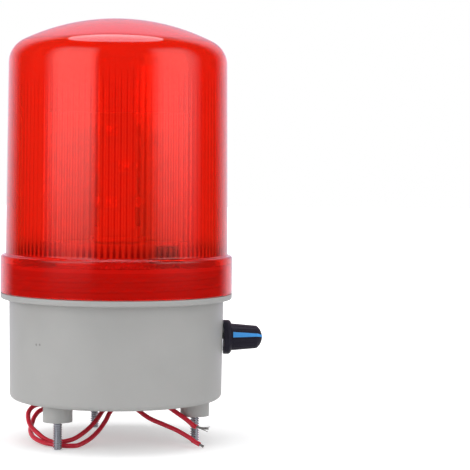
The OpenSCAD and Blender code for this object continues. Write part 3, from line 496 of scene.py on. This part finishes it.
def make_strands(key, end, ahead):
    """One middle strand and others round it, which leave the insulation together and spread."""
    length, count, fan, lift = STRANDS[key]
    ahead = ahead / np.linalg.norm(ahead)
    across = np.cross(ahead, (0, 0, 1))
    across /= np.linalg.norm(across)
    beside = np.cross(ahead, across)
    bundle = Pieces()
    for i in range(count):
        outer = i < count - 1
        turn = 2 * math.pi * i / (count - 1)
        reach = length * (1 - STRAND_TRIM * (i % 3))
        spread = fan * (FAN_MIDDLE + FAN_SWING * math.cos(FAN_TURN * i))
        route = []
        for t in np.linspace(0, 1, STRAND_STEPS + 1):
            place = end + ahead * (reach * t - STRAND_INSET) + np.array((0, 0, lift * t**LIFT_POWER))
            if outer:
                angle = turn + STRAND_TWIST * t
                off = STRAND_RING + spread * t**FAN_POWER
                place = place + off * (math.cos(angle) * across + math.sin(angle) * beside)
            route.append(place)
        bundle.take(*tube(route, STRAND_R, STRAND_SIDES))
    return add_mesh(
        f"strands_{key}", bundle.points, bundle.faces, "strand_tin", "base", [f"lead_tip_{key}"]
    )


def lens_profile():
    """Rings of the lens as (radius, height), from the apex down its outside and up its inside."""
    crown, shoulder = (0, CROWN_Z), (SHOULDER_C, SHOULDER_Z)
    dome_foot_z = LEDGE_Z + FILLET_R
    dome_wall = [
        (DOME_TOP_R + (DOME_FOOT_R - DOME_TOP_R) * t, SHOULDER_Z + (dome_foot_z - SHOULDER_Z) * t)
        for t in DOME_RINGS
    ]
    collar_edge_z, skirt_edge_z = LEDGE_Z - COLLAR_EDGE_R, SKIRT_Z + SKIRT_EDGE_R
    outside = (
        arc(crown, CROWN_R, 90, SHOULDER_ANGLE, steps=14)[1:]
        + arc(shoulder, SHOULDER_R, SHOULDER_ANGLE, 0, steps=10)[1:]
        + dome_wall
        + arc((DOME_FOOT_R + FILLET_R, dome_foot_z), FILLET_R, 180, 270, steps=4)
        + arc((RIM_R - COLLAR_EDGE_R, collar_edge_z), COLLAR_EDGE_R, 90, 0, steps=5)
        + [(RIM_R, collar_edge_z - COLLAR_RING), (RIM_R, skirt_edge_z + COLLAR_RING)]
        + arc((RIM_R - SKIRT_EDGE_R, skirt_edge_z), SKIRT_EDGE_R, 0, -90, steps=3)
    )
    lower = [
        (SKIRT_INNER_R, SKIRT_Z),
        (SKIRT_INNER_R, SEAT_Z - SEAT_BEVEL),
        (SKIRT_INNER_R - SEAT_BEVEL, SEAT_Z),
        (HOLLOW_R, SEAT_Z),
        (HOLLOW_R, SEAT_Z + SEAT_BEVEL),
        (HOLLOW_R, FLUTE_Z - FLUTE_FOOT),
    ]
    flute_levels = [
        *np.arange(FLUTE_Z, FLUTE_Z + FLUTE_END, FLUTE_END_STEP),
        *np.linspace(FLUTE_Z + FLUTE_PLAIN, FLUTE_TOP_Z - FLUTE_FADE, FLUTE_RINGS),
    ]
    flutes = [(FLUTE_ROOT_R, z) for z in flute_levels]
    fade = [
        (FLUTE_ROOT_R + (HOLLOW_R - FLUTE_ROOT_R) * t, FLUTE_TOP_Z - FLUTE_FADE * (1 - t))
        for t in FADE_RINGS
    ]
    inside = (
        lower
        + flutes
        + fade
        + arc(shoulder, SHOULDER_R - LENS_WALL, 0, SHOULDER_ANGLE, steps=8)
        + arc(crown, CROWN_R - LENS_WALL, SHOULDER_ANGLE, 90, steps=10)[1:-1]
    )
    return outside, inside


def flute_height(turn, z):
    """How far a flute's rib stands in from its root, from 0 to 1, with a rounded lower end."""
    across = (turn * FLUTES / (2 * math.pi)) % 1 * 2 - 1
    half_width = math.pi * FLUTE_ROOT_R / FLUTES
    end = FLUTE_Z + half_width * (1 - np.sqrt(1 - np.minimum(1, across**2)))
    lower = np.clip((z - end) / FLUTE_END_RISE, 0, 1)
    upper = np.clip((FLUTE_TOP_Z - z) / FLUTE_FADE, 0, 1)
    return (1 - across**2) * lower * upper * upper * (3 - 2 * upper)


def make_lens():
    outside, inside = lens_profile()
    columns = FLUTES * FLUTE_STEPS
    turns = circle(columns)
    rows = [(np.full(columns, r), z) for r, z in outside]
    for r, z in inside:
        ribs = flute_height(turns, z) if FLUTE_Z <= z <= FLUTE_TOP_Z else np.zeros(columns)
        rows.append((r - FLUTE_DEPTH * ribs, z))
    points = [around(r, t, z) for radii, z in rows for r, t in zip(radii, turns)]
    faces = turned_over(wall_faces(len(rows), columns))
    top, under = len(points), len(points) + 1
    points.append((0, 0, CROWN_Z + CROWN_R))
    points.append((0, 0, CROWN_Z + CROWN_R - LENS_WALL))
    last = (len(rows) - 1) * columns
    for j in range(columns):
        k = (j + 1) % columns
        faces.append((top, j, k))
        faces.append((under, last + k, last + j))
    points = np.array(points) * MM
    add_mesh("lens_moulding", points, faces, "lens_red", "lens_body", ["lens"], smooth_angle=35)


# Thread on the base's neck, which shows through the lens collar, in millimetres
NECK_R, THREAD_HEIGHT = 46.4, 0.9
THREAD_PITCH, THREAD_TURNS, THREAD_Z = 4.0, 2.3, 53.6
THREAD_STEPS, THREAD_RUN_OUT = 360, 12
# Cross-section of the ridge: share of the thread's height, and place along the axis
THREAD_SECTION = [(-0.1, -1.1), (0.75, -0.7), (1.0, -0.45), (1.0, 0.45), (0.75, 0.7), (-0.1, 1.1)]


def make_neck_thread():
    steps = int(THREAD_STEPS * THREAD_TURNS)
    points = []
    for i in range(steps + 1):
        turn = 2 * math.pi * i / THREAD_STEPS
        rise = THREAD_Z + THREAD_PITCH * i / THREAD_STEPS
        grown = min(1, i / THREAD_RUN_OUT, (steps - i) / THREAD_RUN_OUT)
        for share, along in THREAD_SECTION:
            r = NECK_R + THREAD_HEIGHT * (share * grown if share > 0 else share)
            points.append(around(r, turn, rise + along))
    faces = turned_over(solid_faces(steps + 1, len(THREAD_SECTION)))
    add_mesh("neck_thread", np.array(points) * MM, faces, "base_grey", "base")


# Studs with a real thread, shank and hexagon head, in millimetres
STUD_RING_R, STUD_ANGLES = 35.0, (-14, 106, 226)
STUD_R, STUD_CORE_R, STUD_PITCH, STUD_LENGTH = 2.0, 1.3, 1.0, 12.0
STUD_TIP_R, STUD_SIDES, STUD_TURN_STEPS = 1.3, 32, 10
# Height of the thread's sharp V as a share of the height at which its crest is cut off
STUD_CREST = 1.1
SHANK_R, HEAD_Z, HEAD_H, HEAD_FLATS = 2.2, 10.0, 2.8, 7.0
HEAD_SIDES, HEAD_BEVEL_H, HEAD_BEVEL_R = 6, 0.5, 0.45


def thread_radius(turn, z):
    """Radius of a V thread with flat crests at an angle and a height."""
    phase = (z / STUD_PITCH - turn / (2 * math.pi)) % 1
    ridge = 1 - abs(2 * phase - 1)
    return STUD_CORE_R + (STUD_R - STUD_CORE_R) * min(1, STUD_CREST * ridge)


def stud():
    """Points and faces of one stud on the Z axis."""
    turns = circle(STUD_SIDES)
    rings = []
    for z in np.arange(-STUD_LENGTH, 0, STUD_PITCH / STUD_TURN_STEPS):
        limit = STUD_TIP_R + (z + STUD_LENGTH)
        rings.append([(min(limit, thread_radius(t, z)), z) for t in turns])
    for z in (0.0, HEAD_Z):
        rings.append([(SHANK_R, z)] * STUD_SIDES)
    points = [around(r, t, z) for ring in rings for (r, z), t in zip(ring, turns)]
    return points, solid_faces(len(rings), STUD_SIDES)


def hexagon_head():
    """Points and faces of a hexagon head with bevelled corners on top."""
    corner, top = HEAD_FLATS / math.sqrt(3), HEAD_Z + HEAD_H
    outline = ((corner, HEAD_Z), (corner, top - HEAD_BEVEL_H), (corner - HEAD_BEVEL_R, top))
    points = [around(r, t, z) for r, z in outline for t in circle(HEAD_SIDES)]
    return points, solid_faces(len(outline), HEAD_SIDES)


def make_studs():
    studs = Pieces()
    for angle in np.radians(STUD_ANGLES):
        shift = np.array(around(STUD_RING_R, angle, 0))
        for points, faces in (stud(), hexagon_head()):
            studs.take((np.array(points) + shift) * MM, faces)
    add_mesh(
        "studs", studs.points, studs.faces, "zinc_steel", "base", ["mounting_bolts"], smooth_angle=30
    )


# Mirror: a smooth parabola with its focus on the axis, on a foot plate, in millimetres
MIRROR_F, MIRROR_HALF_W, MIRROR_T = 15.0, 30.0, 1.5
MIRROR_Z, MIRROR_TOP_Z = 74.1, 130.1
MIRROR_STEPS, MIRROR_EDGE = 64, 0.7
PLATE_R, PLATE_HALF_W, PLATE_T = 24.0, 22.0, 2.0


def mirror_curve(half_width, depth):
    """Points along the mirror, depth behind its face."""
    across = np.linspace(-half_width, half_width, MIRROR_STEPS + 1)
    face = np.column_stack([across, MIRROR_F - across**2 / (4 * MIRROR_F)])
    normal = np.column_stack([across / (2 * MIRROR_F), np.ones(len(across))])
    return face + depth * normal / np.linalg.norm(normal, axis=1)[:, None]


def upright_sheet(face, back, low, high, edge):
    """Points and faces of a wall between two curves, from one height to another, with bevelled ends."""
    outline = np.vstack([face, back[::-1]])
    middle = np.vstack([(face + back) / 2, ((face + back) / 2)[::-1]])
    thin = np.linalg.norm(outline - middle, axis=1)[:, None]
    inset = outline + (middle - outline) * np.minimum(1, edge / np.maximum(thin, edge))
    levels = ((inset, low), (outline, low + edge), (outline, high - edge), (inset, high))
    points = [(x * MM, y * MM, z * MM) for ring, z in levels for x, y in ring]
    count = len(outline)
    faces = wall_faces(len(levels), count)
    top = (len(levels) - 1) * count
    for i in range(len(face) - 1):
        faces.append((i, count - 1 - i, count - 2 - i, i + 1))
        faces.append((top + i, top + i + 1, top + count - 2 - i, top + count - 1 - i))
    return points, faces


def make_mirror():
    mirror = Pieces()
    face, back = mirror_curve(MIRROR_HALF_W, 0), mirror_curve(MIRROR_HALF_W, MIRROR_T)
    mirror.take(*upright_sheet(face, back, MIRROR_Z, MIRROR_TOP_Z, MIRROR_EDGE))
    front = mirror_curve(PLATE_HALF_W, MIRROR_T / 2)
    rim = np.column_stack([front[:, 0], np.sqrt(PLATE_R**2 - front[:, 0] ** 2)])
    mirror.take(*upright_sheet(front, rim, MIRROR_Z, MIRROR_Z + PLATE_T, MIRROR_EDGE / 2))
    add_mesh(
        "mirror", mirror.points, mirror.faces, "mirror_plating", "rotor", ["reflector"], smooth_angle=50
    )


# Clear domes on the light chips of the lamp's four sides, in millimetres and degrees
LAMP_SIDES = 4
CHIP_LEVELS, CHIP_OFFSET, CHIP_FACE = (91.5, 106.8, 122.1), 3.0, 9.2
CHIP_DOME_R, CHIP_DOME_H, CHIP_DOME_TILT = 1.9, 0.9, 80
CHIP_DOME_RINGS, CHIP_DOME_SIDES = 5, 20


def make_chip_domes():
    domes = Pieces()
    faces = solid_faces(CHIP_DOME_RINGS, CHIP_DOME_SIDES)
    tilts = np.radians(np.linspace(0, CHIP_DOME_TILT, CHIP_DOME_RINGS))
    for side in circle(LAMP_SIDES):
        turned = np.array(Matrix.Rotation(side, 3, "Z"))
        for i, z in enumerate(CHIP_LEVELS):
            x = -CHIP_OFFSET if i % 2 == 0 else CHIP_OFFSET
            points = []
            for tilt in tilts:
                r, depth = CHIP_DOME_R * math.cos(tilt), CHIP_FACE + CHIP_DOME_H * math.sin(tilt)
                for t in circle(CHIP_DOME_SIDES):
                    points.append((x + r * math.cos(t), -depth, z + r * math.sin(t)))
            domes.take(np.array(points) @ turned.T * MM, faces)
    add_mesh("chip_domes", domes.points, domes.faces, "chip_yellow", "base")


# Studio: pale floor, white surroundings and soft lights. Radiance 1 is white.
WHITE, BLACK = (1, 1, 1), (0, 0, 0)
FLOOR_HALF = 4.0
FLOOR_COLOR, FLOOR_ROUGHNESS = (0.82, 0.82, 0.82), 0.9
# The floor's own white near the object and far from it, and the distances between which it grows
FLOOR_GLOW, FLOOR_GLOW_REACH = (0.35, 1.0), (0.15, 0.8)
# Gloss shows less of that white, and away from the object no floor but the studio beyond
FLOOR_GLOSS_GLOW, FLOOR_END_REACH = 0.15, (0.12, 0.3)
AMBIENT_COLOR = (0.55, 0.55, 0.56)
FRONT_COLOR = (0.02, 0.02, 0.02)
# The backdrop behind the object as gloss shows it: its colour by height, where 1 is straight up
BACKDROP = (
    (0.0, (0.95, 0.93, 1.06)),
    (0.1, (1.1, 0.86, 1.05)),
    (0.25, (0.8, 0.59, 0.73)),
    (0.5, (1.1, 0.78, 0.97)),
    (0.72, (1.5, 1.06, 1.33)),
    (0.86, (0.5, 0.36, 0.45)),
    (1.0, (0.26, 0.19, 0.23)),
)
# Where the backdrop starts and is full, as the cosine of the angle from straight behind
BACKDROP_FRONT = (0.5, 0.9)
LIGHT_AIM = Vector((0, 0, 0.08))
PANEL_DISTANCE = 1.2
# Power of an area light for each square metre and unit of radiance
LIGHT_POWER = 4


def make_floor():
    """A plain floor that looks white far from the object and keeps the object's shadow near it.

    Seen through clear plastic it is plain white.
    """
    z = cad_box[0].z
    mesh = bpy.data.meshes.new("floor")
    corners = [(-1, -1), (1, -1), (1, 1), (-1, 1)]
    mesh.from_pydata([(x * FLOOR_HALF, y * FLOOR_HALF, z) for x, y in corners], [], [(0, 1, 2, 3)])
    surface = Surface(
        "floor", FLOOR_COLOR, FLOOR_ROUGHNESS, Specular_IOR_Level=0.0, Emission_Color=(*WHITE, 1)
    )
    away = surface.vector_math("LENGTH", surface.place)["Value"]
    path = surface.add("ShaderNodeLightPath").outputs
    camera, gloss, through = (path[f"Is {ray} Ray"] for ray in ("Camera", "Glossy", "Transmission"))
    surface.set("Base Color", surface.mix(through, FLOOR_COLOR, BLACK))
    mirrored = surface.math("GREATER_THAN", gloss, through)
    glow = surface.math("MULTIPLY", camera, surface.spread(away, *FLOOR_GLOW, *FLOOR_GLOW_REACH))
    glow = surface.math("MULTIPLY_ADD", mirrored, FLOOR_GLOSS_GLOW, glow)
    surface.set("Emission Strength", surface.math("MAXIMUM", glow, through))
    ended = surface.math("MULTIPLY", mirrored, surface.spread(away, 0.0, 1.0, *FLOOR_END_REACH))
    surface.set("Alpha", surface.math("SUBTRACT", 1.0, ended))
    mesh.materials.append(surface.material)
    floor = bpy.data.objects.new("floor", mesh)
    scene.collection.objects.link(floor)


def make_world():
    """White where the camera looks past or through the object, soft fill for shade.

    Gloss shows the backdrop behind the object and a dim front.
    """
    world = bpy.data.worlds.new("studio")
    world.use_nodes = True
    scene.world = world
    studio = Nodes(world.node_tree)
    path = studio.add("ShaderNodeLightPath").outputs
    direction = studio.add("ShaderNodeTexCoord").outputs["Generated"]
    level = studio.vector_math("MULTIPLY", direction, (1, 1, 0))["Vector"]
    heading = studio.vector_math("NORMALIZE", level)["Vector"]
    behind = studio.spread(studio.split(heading)["Y"], 0.0, 1.0, *BACKDROP_FRONT, ease="SMOOTHSTEP")
    ramp = studio.add("ShaderNodeValToRGB")
    studio.feed(ramp.inputs["Fac"], studio.split(direction)["Z"])
    stops = ramp.color_ramp.elements
    stops.remove(stops[-1])
    for i, (height, color) in enumerate(BACKDROP):
        stop = stops.new(height) if i else stops[0]
        stop.color = (*color, 1)
    seen = studio.math("MAXIMUM", path["Is Camera Ray"], path["Is Transmission Ray"])
    mirrored = studio.mix(behind, FRONT_COLOR, ramp.outputs["Color"])
    color = studio.mix(path["Is Glossy Ray"], AMBIENT_COLOR, mirrored)
    color = studio.mix(seen, color, WHITE)
    studio.feed(studio.tree.nodes["Background"].inputs["Color"], color)


def add_lamp(
    name, place, towards, size, radiance,
    color=WHITE, shape="RECTANGLE", gloss=True, shade=True, through=True,
):
    """An area light at a place, turned to shine against towards.

    gloss, shade and through say whether the light shows in gloss, whether it lights surfaces and
    whether it shows through clear plastic.
    """
    light = bpy.data.lights.new(name, "AREA")
    light.shape = shape
    light.size, light.size_y = size
    light.energy = LIGHT_POWER * size[0] * size[1] * radiance
    light.color = color
    lamp = bpy.data.objects.new(name, light)
    scene.collection.objects.link(lamp)
    lamp.location = place
    lamp.rotation_mode = "QUATERNION"
    lamp.rotation_quaternion = towards.to_track_quat("Z", "Y")
    lamp.visible_camera = False
    lamp.visible_transmission = through
    lamp.visible_glossy = gloss
    lamp.visible_diffuse = shade
    return light


def add_softbox(name, azimuth, elevation, distance, size, radiance, **looks):
    """A soft light aimed at the object; azimuth is from the camera's side, to the right."""
    a, e = math.radians(azimuth), math.radians(elevation)
    towards = Vector((math.sin(a) * math.cos(e), -math.cos(a) * math.cos(e), math.sin(e)))
    add_lamp(name, LIGHT_AIM + towards * distance, towards, size, radiance, **looks)


def add_panel(name, turns, heights, radiance):
    """An upright panel with soft edges. It shows in gloss and through clear plastic and lights nothing.

    turns are the azimuths in degrees, and heights the heights in metres, at which the panel starts, is
    full, is no longer full and ends.
    """
    turns = np.radians(turns)
    middle = (turns[0] + turns[3]) / 2
    along = PANEL_DISTANCE * np.tan(turns - middle)
    towards = Vector((math.sin(middle), -math.cos(middle), 0))
    place = towards * PANEL_DISTANCE + Vector((0, 0, (heights[0] + heights[3]) / 2))
    size = (along[3] - along[0], heights[3] - heights[0])
    light = add_lamp(name, place, towards, size, radiance, shade=False)
    light.use_nodes = True
    glow = Nodes(light.node_tree)
    spot = glow.split(glow.add("ShaderNodeNewGeometry").outputs["Parametric"])
    level = 1.0
    for axis, marks in (("X", along), ("Y", np.array(heights))):
        start, full, full_end, end = (marks - marks[0]) / (marks[3] - marks[0])
        for dark, bright in ((start, full), (end, full_end)):
            level = glow.spread(spot[axis], 0.0, level, dark, bright, ease="SMOOTHSTEP")
    glow.feed(glow.tree.nodes["Emission"].inputs["Strength"], level)


make_camera()
for lead_key in LEAD_ROUTES:
    make_lead(lead_key)
make_lens()
make_neck_thread()
make_studs()
make_mirror()
make_chip_domes()
make_floor()
make_world()
# Soft lights: azimuth and elevation in degrees, distance and size in metres, radiance
add_softbox("left_light", -44, 14, 1.2, (0.92, 1.5), 0.82, gloss=False)
add_softbox("right_light", 60, 14, 1.2, (0.92, 1.5), 0.82, gloss=False)
add_softbox("left_fill", -85, 20, 1.4, (1.0, 1.2), 1.05, gloss=False)
add_softbox("top_light", 0, 90, 1.1, (1.1, 1.1), 1.5, gloss=False, through=False)
# These two show only through the lens and keep its inside light
add_softbox("lens_fill_left", -48, 10, 1.3, (1.2, 1.0), 3.8, gloss=False, shade=False)
add_softbox("lens_fill_right", 52, 10, 1.3, (1.2, 1.0), 3.6, gloss=False, shade=False)
# The bright spot on the lens's crown
add_softbox(
    "crown_glint", 197, 84, 1.0, (0.88, 0.86), 2.6,
    color=(0.94, 0.88, 1.0), shape="ELLIPSE", shade=False, through=False,
)
add_panel("left_panel", (-84, -58, -31, -18), (-0.07, 0.2, 0.9, 1.55), 1.5)
add_panel("right_panel", (30, 50, 70, 98), (-0.06, 0.22, 0.9, 1.55), 1.35)
scene.view_settings.view_transform = "Standard"
